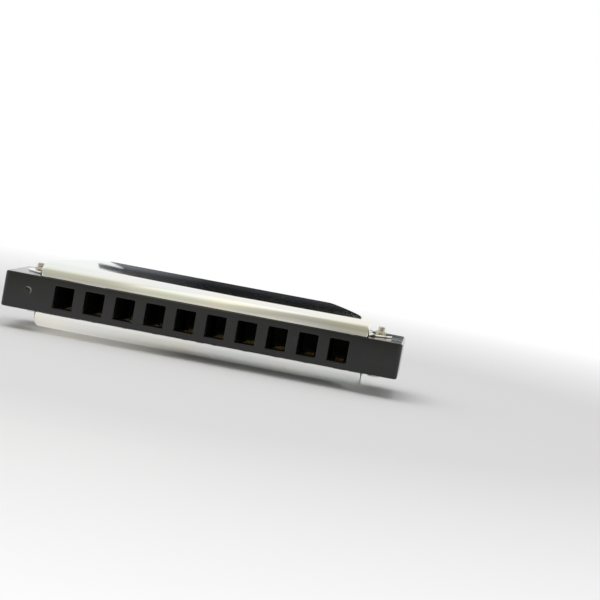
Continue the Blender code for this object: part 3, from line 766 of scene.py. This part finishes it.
def half_section(y, inset=0.0):
    """The sheet's outer line at one depth, from its border on the right to the middle of the roof."""
    lean = ridge_inset(y) / roof_height(y)
    foot = end_foot(y) - inset * math.hypot(1.0, lean)
    top = roof_height(y) - inset
    low = min(SHEET, FOOT_PART * top)
    high = low + min(EAR_FLARE, FOOT_PART * top)
    wall_low = Vector((foot - lean * low, low))
    wall_high = Vector((foot - lean * high, high))
    ridge = Vector((foot - lean * top, top))
    rounding = min(RIDGE_ROUNDING - inset, RIDGE_PART * top)
    down_wall = Vector((lean, -1.0)).normalized()
    across = abs(y - bolt_y)
    if across < EAR_WIDTH / 2 + SHEET / 2:
        flare = EAR_FLARE * max(0.0, 1 - (2 * across / EAR_WIDTH) ** FLARE_POWER)
        bend_start = wall_low + Vector((flare, 0.0))
        points = line(Vector((ear_edge(across), low)), bend_start, FLAT_STEPS)
    else:
        bend_start = wall_low
        points = line(Vector((foot, 0.0)), wall_low, FLAT_STEPS)
    bend_corner = wall_low.lerp((bend_start + wall_high) / 2, FLARE_EASE)
    points += bend(bend_start, bend_corner, wall_high, FLARE_STEPS)
    ridge_start = ridge + down_wall * rounding
    ridge_end = ridge - Vector((rounding, 0.0))
    points += line(wall_high, ridge_start, WALL_STEPS)
    points += bend(ridge_start, ridge, ridge_end, RIDGE_STEPS)
    return points + line(ridge_end, Vector((0.0, top)), MIDDLE_STEPS)


def section(y, inset=0.0):
    """The whole line at one depth, from the border on the right to the border on the left."""
    half = half_section(y, inset)
    top = (0.0, y, half[-1].y)
    return [(p.x, y, p.y) for p in half] + [top] + [(-p.x, y, p.y) for p in reversed(half)]


def cover_depths():
    """Depths of the sections: close on the curved front and across the ear, even along the roof."""
    turns = [math.pi / 2 * (1 - step / FRONT_STEPS) for step in range(FRONT_STEPS)]
    depths = [shoulder - SHOULDER_DEPTH * math.sin(turn) for turn in turns]
    roof_end = cover_high.y - BACK_FOLD_RADIUS
    depths += [shoulder + (roof_end - shoulder) * step / ROOF_STEPS for step in range(ROOF_STEPS + 1)]
    ear = EAR_WIDTH / 2
    around = [y for y in depths if abs(y - bolt_y) > ear + EAR_EDGE_ROOM]
    across = [bolt_y - ear + EAR_WIDTH * step / EAR_STEPS for step in range(EAR_STEPS + 1)]
    return sorted(around + across + [bolt_y - ear - SHEET, bolt_y + ear + SHEET])


def cover_skin():
    """The outer face of a pressed cover as one open surface, its foot at height 0."""
    rings = [section(y) for y in cover_depths()]
    fold = cover_high.y - BACK_FOLD_RADIUS
    for sine, cosine in quarter_turn()[1:]:
        rings.append(section(fold + BACK_FOLD_RADIUS * sine, BACK_FOLD_RADIUS * (1 - cosine)))
    rings.append(section(cover_high.y, BACK_LIP))
    mesh = bmesh.new()
    lines = [[mesh.verts.new(point) for point in ring] for ring in rings]
    for near, far in zip(lines, lines[1:]):
        for i in range(len(near) - 1):
            mesh.faces.new((near[i], far[i], far[i + 1], near[i + 1]))
    mesh.faces.new(lines[0])
    return mesh


def ear_bores():
    """The holes in both ears that the bolts go through."""
    mesh = bmesh.new()
    for side in (-1, 1):
        outline = circle(BOLT_RADIUS + BORE_GAP, BORE_SIDES)
        add_upright(mesh, outline, (side * bolt_x, bolt_y), -SHEET, 2 * SHEET)
    return mesh


def corner_slits():
    """The relief cuts between the front and the end walls: wedges that close above each corner's foot."""
    mesh = bmesh.new()
    below = Vector((0.0, 0.0, -SHEET))
    peak = Vector((0.0, 0.0, SLIT_HEIGHT))
    for side in (-1, 1):
        outwards = Vector((side * math.sin(SLIT_TURN), -math.cos(SLIT_TURN), 0.0))
        aside = Vector((math.cos(SLIT_TURN), side * math.sin(SLIT_TURN), 0.0)) * SLIT_WIDTH / 2
        inner = Vector((side * (cover_half - COVER_CORNER_RADIUS), cover_low.y + COVER_CORNER_RADIUS, 0.0))
        outer = inner + outwards * (COVER_CORNER_RADIUS + SHEET)
        wedge = [below - aside, below + aside, aside, peak, -aside]
        add_skin(mesh, [[place + corner for corner in wedge] for place in (inner, outer)])
    return mesh


cover = new_piece("cover_sheet", cover_skin())
thickness = cover.modifiers.new("sheet", "SOLIDIFY")
thickness.thickness = SHEET
thickness.offset = -1.0
thickness.use_even_offset = True
settle(cover)
carve(cover, ear_bores(), solver="MANIFOLD")
carve(cover, corner_slits(), solver="MANIFOLD")
break_edges(cover, SHEET_EDGE)
smooth(cover)

polish, shader = finish("cover_polish", POLISH_COLOUR, POLISH_ROUGHNESS, metallic=1.0)
tint(polish, shader, grain(polish, TINGE_SIZE, stretch=TINGE_STRETCH), POLISH_SHADES)
polish_lines = grain(polish, POLISH_LINE_SIZE, detail=3.0, stretch=POLISH_LINE_STRETCH)
line_haze = spread(polish, polish_lines, *POLISH_LINE_ROUGHNESS)
smudges = spread(polish, grain(polish, SMUDGE_SIZE, detail=4.0), *SMUDGE_ROUGHNESS, *SMUDGE_SPAN)
polish.node_tree.links.new(together(polish, "ADD", line_haze, smudges), shader.inputs["Roughness"])
relief(polish, shader, grain(polish, WAVE_SIZE, detail=1.0, stretch=WAVE_STRETCH), WAVE_DEPTH)

for side, turn in (("top", 0.0), ("bottom", math.pi)):
    low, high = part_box(f"{side}_cover")
    placed = another(f"{side}_cover_sheet", cover)
    placed.location.z = low.z if side == "top" else high.z
    placed.rotation_euler.y = turn
    fit(placed, polish, "polished_steel", f"{side}_cover")
bpy.data.objects.remove(cover, do_unlink=True)

# Cover bolts
# One bolt at each end goes through both ears and the comb, with its slotted head under the lower ear. It is
# turned and rolled from steel, nickel-plated, and its thread shows above the nut.

BOLT_HEAD_HEIGHT = 0.0006
BOLT_HEAD_ROUNDING = 0.0002
BOLT_SLOT_WIDTH = 0.0004
BOLT_SLOT_DEPTH = 0.0003
BOLT_END_ROUNDING = 0.00035
THREAD_PITCH = 0.00035
THREAD_DEPTH = 0.0001
THREAD_STEPS = 10
BOLT_SIDES = 48
NICKEL_COLOUR = (0.72, 0.69, 0.63)
NICKEL_SHADES = ((0.3, (0.56, 0.51, 0.43)), (0.5, NICKEL_COLOUR), (0.75, (0.78, 0.76, 0.71)))
NICKEL_ROUGHNESS = 0.18
NICKEL_STAIN_SIZE = 0.0012
PLATING_SIZE = 0.0004
PLATING_ROUGHNESS = (0.12, 0.28)
PLATING_GRAIN_SIZE = 0.00015
PLATING_GRAIN_DEPTH = 0.000002


def thread_ring(height, start):
    """A ring of points on a rolled thread: its groove climbs one pitch in a turn."""
    ring = []
    for x, y in circle(1.0, BOLT_SIDES):
        turn = math.atan2(y, x) / (2 * math.pi)
        phase = ((height - start) / THREAD_PITCH - turn) % 1.0
        flank = abs(2 * phase - 1)
        radius = BOLT_RADIUS - THREAD_DEPTH * (1 - flank)
        ring.append((radius * x, radius * y, height))
    return ring


def bolt_mesh(low, high, thread_start):
    """A bolt about Z from its head's face at the low level to its end at the high one."""
    head_radius = (bolt_high.x - bolt_low.x) / 2
    seat = low + BOLT_HEAD_HEIGHT
    head = []
    for sine, cosine in quarter_turn():
        height = low + BOLT_HEAD_ROUNDING * (1 - sine)
        head.append((head_radius - BOLT_HEAD_ROUNDING * (1 - cosine), height))
    head = head[::-1] + [(head_radius, seat), (BOLT_RADIUS, seat), (BOLT_RADIUS, thread_start)]
    rings = [[(x, y, height) for x, y in circle(radius, BOLT_SIDES)] for radius, height in head]
    thread_end = high - BOLT_END_ROUNDING
    steps = round((thread_end - thread_start) / THREAD_PITCH * THREAD_STEPS)
    for step in range(1, steps + 1):
        height = thread_start + (thread_end - thread_start) * step / steps
        rings.append(thread_ring(height, thread_start))
    for sine, cosine in quarter_turn()[1:]:
        radius = BOLT_RADIUS - BOLT_END_ROUNDING * (1 - cosine)
        rings.append([(x, y, thread_end + BOLT_END_ROUNDING * sine) for x, y in circle(radius, BOLT_SIDES)])
    mesh = bmesh.new()
    add_skin(mesh, rings)
    return mesh


nickel, shader = finish("nickel_plating", NICKEL_COLOUR, NICKEL_ROUGHNESS, metallic=1.0)
tint(nickel, shader, grain(nickel, NICKEL_STAIN_SIZE, detail=3.0), NICKEL_SHADES)
plating = spread(nickel, grain(nickel, PLATING_SIZE, detail=3.0), *PLATING_ROUGHNESS)
nickel.node_tree.links.new(plating, shader.inputs["Roughness"])
relief(nickel, shader, grain(nickel, PLATING_GRAIN_SIZE), PLATING_GRAIN_DEPTH)

for side in ("left", "right"):
    node = f"cover_bolt_{side}"
    low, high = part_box(node)
    thread_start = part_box(f"cover_nut_{side}")[0].z
    bolt = new_piece(f"{side}_bolt", bolt_mesh(low.z, high.z, thread_start))
    saw_slot(bolt, BOLT_SLOT_WIDTH, BOLT_SLOT_DEPTH, low.z, -1, high.x - low.x)
    smooth(bolt)
    bolt.location = ((low.x + high.x) / 2, (low.y + high.y) / 2, 0.0)
    fit(bolt, nickel, "nickel", node)

# Cover nuts
# A thin hexagon nut on each bolt presses the two covers onto the comb. It is cut from hexagon bar, its
# corners chamfered on a lathe, and nickel-plated like the bolt.

NUT_ACROSS_FLATS = 0.0025
NUT_FACE_PART = 0.96
NUT_CHAMFER_SLOPE = math.tan(math.radians(30))
NUT_BORE_LEAD = 0.0001
NUT_EDGE_BREAK = 0.00003
NUT_SIDES = 6
NUT_STEPS = 10


def nut_mesh(thickness):
    """A nut about Z on height 0: the flats are planes, and the cone of the chamfer cuts them in arcs."""
    bore = BOLT_RADIUS + BORE_GAP
    face = NUT_ACROSS_FLATS / 2 * NUT_FACE_PART
    half_flat = math.pi / NUT_SIDES
    rings = []
    for step in range(NUT_SIDES * NUT_STEPS):
        turn = 2 * math.pi * step / (NUT_SIDES * NUT_STEPS)
        from_flat = (turn + half_flat) % (2 * half_flat) - half_flat
        outer = NUT_ACROSS_FLATS / 2 / math.cos(from_flat)
        drop = (outer - face) * NUT_CHAMFER_SLOPE
        profile = [(bore, NUT_BORE_LEAD), (bore + NUT_BORE_LEAD, 0.0), (face, 0.0), (outer, drop)]
        profile += [(radius, thickness - height) for radius, height in reversed(profile)]
        rings.append([(r * math.cos(turn), r * math.sin(turn), height) for r, height in profile])
    mesh = bmesh.new()
    loops = [[mesh.verts.new(point) for point in ring] for ring in rings]
    for near, far in zip(loops, loops[1:] + loops[:1]):
        add_band(mesh, near, far)
    return mesh


for side in ("left", "right"):
    node = f"cover_nut_{side}"
    low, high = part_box(node)
    nut = new_piece(f"{side}_nut", nut_mesh(high.z - low.z))
    break_edges(nut, NUT_EDGE_BREAK)
    smooth(nut)
    nut.location = ((low.x + high.x) / 2, (low.y + high.y) / 2, low.z)
    fit(nut, nickel, "nickel", node)

# Floor
# A pale matt floor that the harmonica lies on. It turns into plain white away from the harmonica, so that
# no horizon shows, and keeps the soft shadow close to it. Shiny faces see it whiter towards the left, and
# it is clear from below.

FLOOR_HALF = 2.0
FLOOR_SQUARES = 8
FLOOR_COLOUR = (0.86, 0.86, 0.86)
FLOOR_ROUGHNESS = 0.9
FLOOR_SHINE = 0.1
FLOOR_SHADOW_RADIUS = 0.12
FLOOR_WHITE_RADIUS = 0.3
FLOOR_MIRROR_SHARES = (0.56, 0.06)
FLOOR_MIRROR_CHANGE = (-0.036, -0.004)
WHITE = (1.0, 1.0, 1.0, 1.0)


def seen_rays(made):
    """1 for what the camera sees straight, in a shiny face or through clear stuff, and 0 for lighting."""
    ray = made.node_tree.nodes.new("ShaderNodeLightPath")
    seen = together(made, "MAXIMUM", ray.outputs["Is Camera Ray"], ray.outputs["Is Glossy Ray"])
    return together(made, "MAXIMUM", seen, ray.outputs["Is Transmission Ray"])


mesh = bmesh.new()
bmesh.ops.create_grid(mesh, x_segments=FLOOR_SQUARES, y_segments=FLOOR_SQUARES, size=FLOOR_HALF)
floor = new_piece("floor", mesh)
floor_paint, shader = finish("floor_paint", FLOOR_COLOUR, FLOOR_ROUGHNESS)
shader.inputs["Specular IOR Level"].default_value = FLOOR_SHINE
nodes = floor_paint.node_tree.nodes
links = floor_paint.node_tree.links
place = nodes.new("ShaderNodeTexCoord")
distance = nodes.new("ShaderNodeVectorMath")
distance.operation = "LENGTH"
links.new(place.outputs["Object"], distance.inputs[0])
away = spread(floor_paint, distance.outputs["Value"], 0.0, 1.0, FLOOR_SHADOW_RADIUS, FLOOR_WHITE_RADIUS)
split = nodes.new("ShaderNodeSeparateXYZ")
links.new(place.outputs["Object"], split.inputs["Vector"])
ray = nodes.new("ShaderNodeLightPath")
whiter = spread(floor_paint, split.outputs["X"], *FLOOR_MIRROR_SHARES, *FLOOR_MIRROR_CHANGE)
mirrored = together(floor_paint, "MULTIPLY", ray.outputs["Is Glossy Ray"], whiter)
white_share = together(floor_paint, "MULTIPLY", away, seen_rays(floor_paint))
white_share = together(floor_paint, "MAXIMUM", white_share, mirrored)
white = nodes.new("ShaderNodeEmission")
white.inputs["Color"].default_value = WHITE
white.inputs["Strength"].default_value = 1.0
blend = nodes.new("ShaderNodeMixShader")
links.new(white_share, blend.inputs["Fac"])
links.new(shader.outputs["BSDF"], blend.inputs[1])
links.new(white.outputs["Emission"], blend.inputs[2])
side_seen = nodes.new("ShaderNodeNewGeometry")
clear = nodes.new("ShaderNodeBsdfTransparent")
one_sided = nodes.new("ShaderNodeMixShader")
links.new(side_seen.outputs["Backfacing"], one_sided.inputs["Fac"])
links.new(blend.outputs["Shader"], one_sided.inputs[1])
links.new(clear.outputs["BSDF"], one_sided.inputs[2])
links.new(one_sided.outputs["Shader"], nodes["Material Output"].inputs["Surface"])
floor.data.materials.append(floor_paint)

# Studio cards
# Two cards that only shiny faces see. A dark one behind the harmonica draws the far side of the roof, and a
# grey one in front shades the foot of the covers, as the unlit side of a room does. The grey one's lower
# edge is folded in along the floor.

DARK_CARD_Y = 0.055
DARK_CARD_OUTLINE = (
    (0.05, 0.016),
    (0.05, 0.021),
    (0.036, 0.021),
    (0.036, 0.037),
    (0.0, 0.052),
    (-0.015, 0.046),
    (-0.03, 0.0375),
    (-0.0385, 0.034),
    (-0.039, 0.029),
    (-0.0315, 0.0298),
    (-0.0355, 0.0245),
    (-0.0355, 0.016),
)
DARK_CARD_TOP = 0.04
DARK_CARD_SHADES = ((0.66, (0.036, 0.038, 0.043)), (0.76, (0.013, 0.0135, 0.0145)))
DARK_CARD_CHANGES = ((-0.03, -0.008),)
DARK_CARD_GLOW = (5.0, 1.0)
DARK_CARD_SHIFT = (0.0, 0.0)
GREY_CARD_Y = -0.2
GREY_CARD_LEAN = 0.6
GREY_CARD_HALF = 0.8
GREY_CARD_TOP = 0.6
GREY_CARD_SHADES = (
    (0.12, (0.52, 0.51, 0.46)),
    (0.2, (0.44, 0.43, 0.36)),
    (0.32, (0.49, 0.48, 0.41)),
    (0.44, (0.53, 0.525, 0.43)),
    (0.53, (0.68, 0.675, 0.56)),
    (0.6, (0.84, 0.84, 0.74)),
    (1.0, (0.92, 0.92, 0.91)),
)
GREY_CARD_CHANGES = ((-0.05, -0.041), (-0.012, 0.01), (0.01, 0.025))
GREY_CARD_GLOW = (1.1, 1.3, 1.03, 0.85)
GREY_CARD_SHIFT = (0.2, 0.28, 0.0, 0.03)
GREY_FOLD_DEPTH = 0.045
GREY_FOLD_LIFT = 0.0005
GREY_FOLD_GLOW = (1.2, 1.55, 1.3, 0.8)


def across_card(paint, place, values, changes):
    """A value that goes evenly to the next one over each change along X, from left to right."""
    total = spread(paint, place, values[0], values[1], *changes[0])
    for before, after, change in zip(values[1:], values[2:], changes[1:]):
        total = together(paint, "ADD", total, spread(paint, place, 0.0, after - before, *change))
    return total


def studio_card(name, corners, top, shades, changes, glow, shift):
    """A card with shades of grey from the floor to a top level. Across its changes in X the glow goes from
    factor to factor, and the shades are shifted down by share after share."""
    mesh = bmesh.new()
    mesh.faces.new([mesh.verts.new(corner) for corner in corners])
    card = new_piece(name, mesh)
    paint = bpy.data.materials.new(name)
    paint.use_nodes = True
    nodes = paint.node_tree.nodes
    links = paint.node_tree.links
    nodes.remove(nodes["Principled BSDF"])
    place = nodes.new("ShaderNodeTexCoord")
    split = nodes.new("ShaderNodeSeparateXYZ")
    links.new(place.outputs["Object"], split.inputs["Vector"])
    lit = nodes.new("ShaderNodeEmission")
    level = spread(paint, split.outputs["Z"], 0.0, 1.0, 0.0, top)
    shifted = together(paint, "ADD", level, across_card(paint, split.outputs["X"], shift, changes))
    links.new(blended(paint, shifted, shades), lit.inputs["Color"])
    links.new(across_card(paint, split.outputs["X"], glow, changes), lit.inputs["Strength"])
    links.new(lit.outputs["Emission"], nodes["Material Output"].inputs["Surface"])
    card.data.materials.append(paint)
    card.visible_camera = False
    card.visible_diffuse = False
    card.visible_shadow = False


studio_card(
    "dark_card",
    [(x, DARK_CARD_Y, z) for x, z in DARK_CARD_OUTLINE],
    DARK_CARD_TOP,
    DARK_CARD_SHADES,
    DARK_CARD_CHANGES,
    DARK_CARD_GLOW,
    DARK_CARD_SHIFT,
)
grey_card_low = [(side * GREY_CARD_HALF, GREY_CARD_Y, 0.0) for side in (-1, 1)]
grey_card_y = GREY_CARD_Y + GREY_CARD_LEAN * GREY_CARD_TOP
grey_card_high = [(side * GREY_CARD_HALF, grey_card_y, GREY_CARD_TOP) for side in (1, -1)]
studio_card(
    "grey_card",
    grey_card_low + grey_card_high,
    GREY_CARD_TOP,
    GREY_CARD_SHADES,
    GREY_CARD_CHANGES,
    GREY_CARD_GLOW,
    GREY_CARD_SHIFT,
)
grey_fold_front = GREY_CARD_Y + GREY_FOLD_DEPTH
grey_fold = [(side * GREY_CARD_HALF, GREY_CARD_Y, GREY_FOLD_LIFT) for side in (-1, 1)]
grey_fold += [(side * GREY_CARD_HALF, grey_fold_front, GREY_FOLD_LIFT) for side in (1, -1)]
studio_card(
    "grey_card_fold",
    grey_fold,
    GREY_CARD_TOP,
    GREY_CARD_SHADES,
    GREY_CARD_CHANGES,
    GREY_FOLD_GLOW,
    GREY_CARD_SHIFT,
)

# Light
# A large soft lamp overhead, a little to the left and to the mouth side, and the white of the room all
# round, at a level at which a colour looks as it is written.

LAMP_PLACE = Vector((-0.15, -0.15, 0.75))
LAMP_SIZE = 0.95
LAMP_POWER = 2.8
ROOM_LIGHT = 0.5

lamp = bpy.data.lights.new("soft_lamp", "AREA")
lamp.shape = "DISK"
lamp.size = LAMP_SIZE
lamp.energy = LAMP_POWER
lamp_holder = bpy.data.objects.new("soft_lamp", lamp)
lamp_holder.location = LAMP_PLACE
lamp_holder.rotation_euler = (-LAMP_PLACE).to_track_quat("-Z", "Y").to_euler()
lamp_holder.visible_camera = False
lamp_holder.visible_glossy = False
bpy.context.scene.collection.objects.link(lamp_holder)

room = bpy.data.worlds.new("white_room")
room.use_nodes = True
bpy.context.scene.world = room
nodes = room.node_tree.nodes
links = room.node_tree.links
light = nodes["Background"]
light.inputs["Color"].default_value = WHITE
light.inputs["Strength"].default_value = ROOM_LIGHT
shown = nodes.new("ShaderNodeBackground")
shown.inputs["Color"].default_value = WHITE
shown.inputs["Strength"].default_value = 1.0
mix = nodes.new("ShaderNodeMixShader")
links.new(seen_rays(room), mix.inputs["Fac"])
links.new(light.outputs["Background"], mix.inputs[1])
links.new(shown.outputs["Background"], mix.inputs[2])
links.new(mix.outputs["Shader"], nodes["World Output"].inputs["Surface"])
bpy.context.scene.view_settings.view_transform = "Standard"

# Camera
# A long lens almost level with the comb, a little to its right, rolled so that the harmonica slopes down to
# the right.

CAMERA_PLACE = Vector((0.05486, -0.49529, 0.05207))
CAMERA_YAW = math.radians(3.79)
CAMERA_DROP = math.radians(3.81)
CAMERA_ROLL = math.radians(10.39)
LENS = 120.0
SENSOR = 36.0
NEAREST_SHOWN = 0.01

camera = bpy.data.cameras.new("camera")
camera.lens = LENS
camera.sensor_width = SENSOR
camera.clip_start = NEAREST_SHOWN
camera_holder = bpy.data.objects.new("camera", camera)
aim = Matrix.Rotation(CAMERA_YAW, 4, "Z") @ Matrix.Rotation(math.pi / 2 - CAMERA_DROP, 4, "X")
camera_holder.matrix_world = Matrix.Translation(CAMERA_PLACE) @ aim @ Matrix.Rotation(CAMERA_ROLL, 4, "Z")
bpy.context.scene.collection.objects.link(camera_holder)
bpy.context.scene.camera = camera_holder
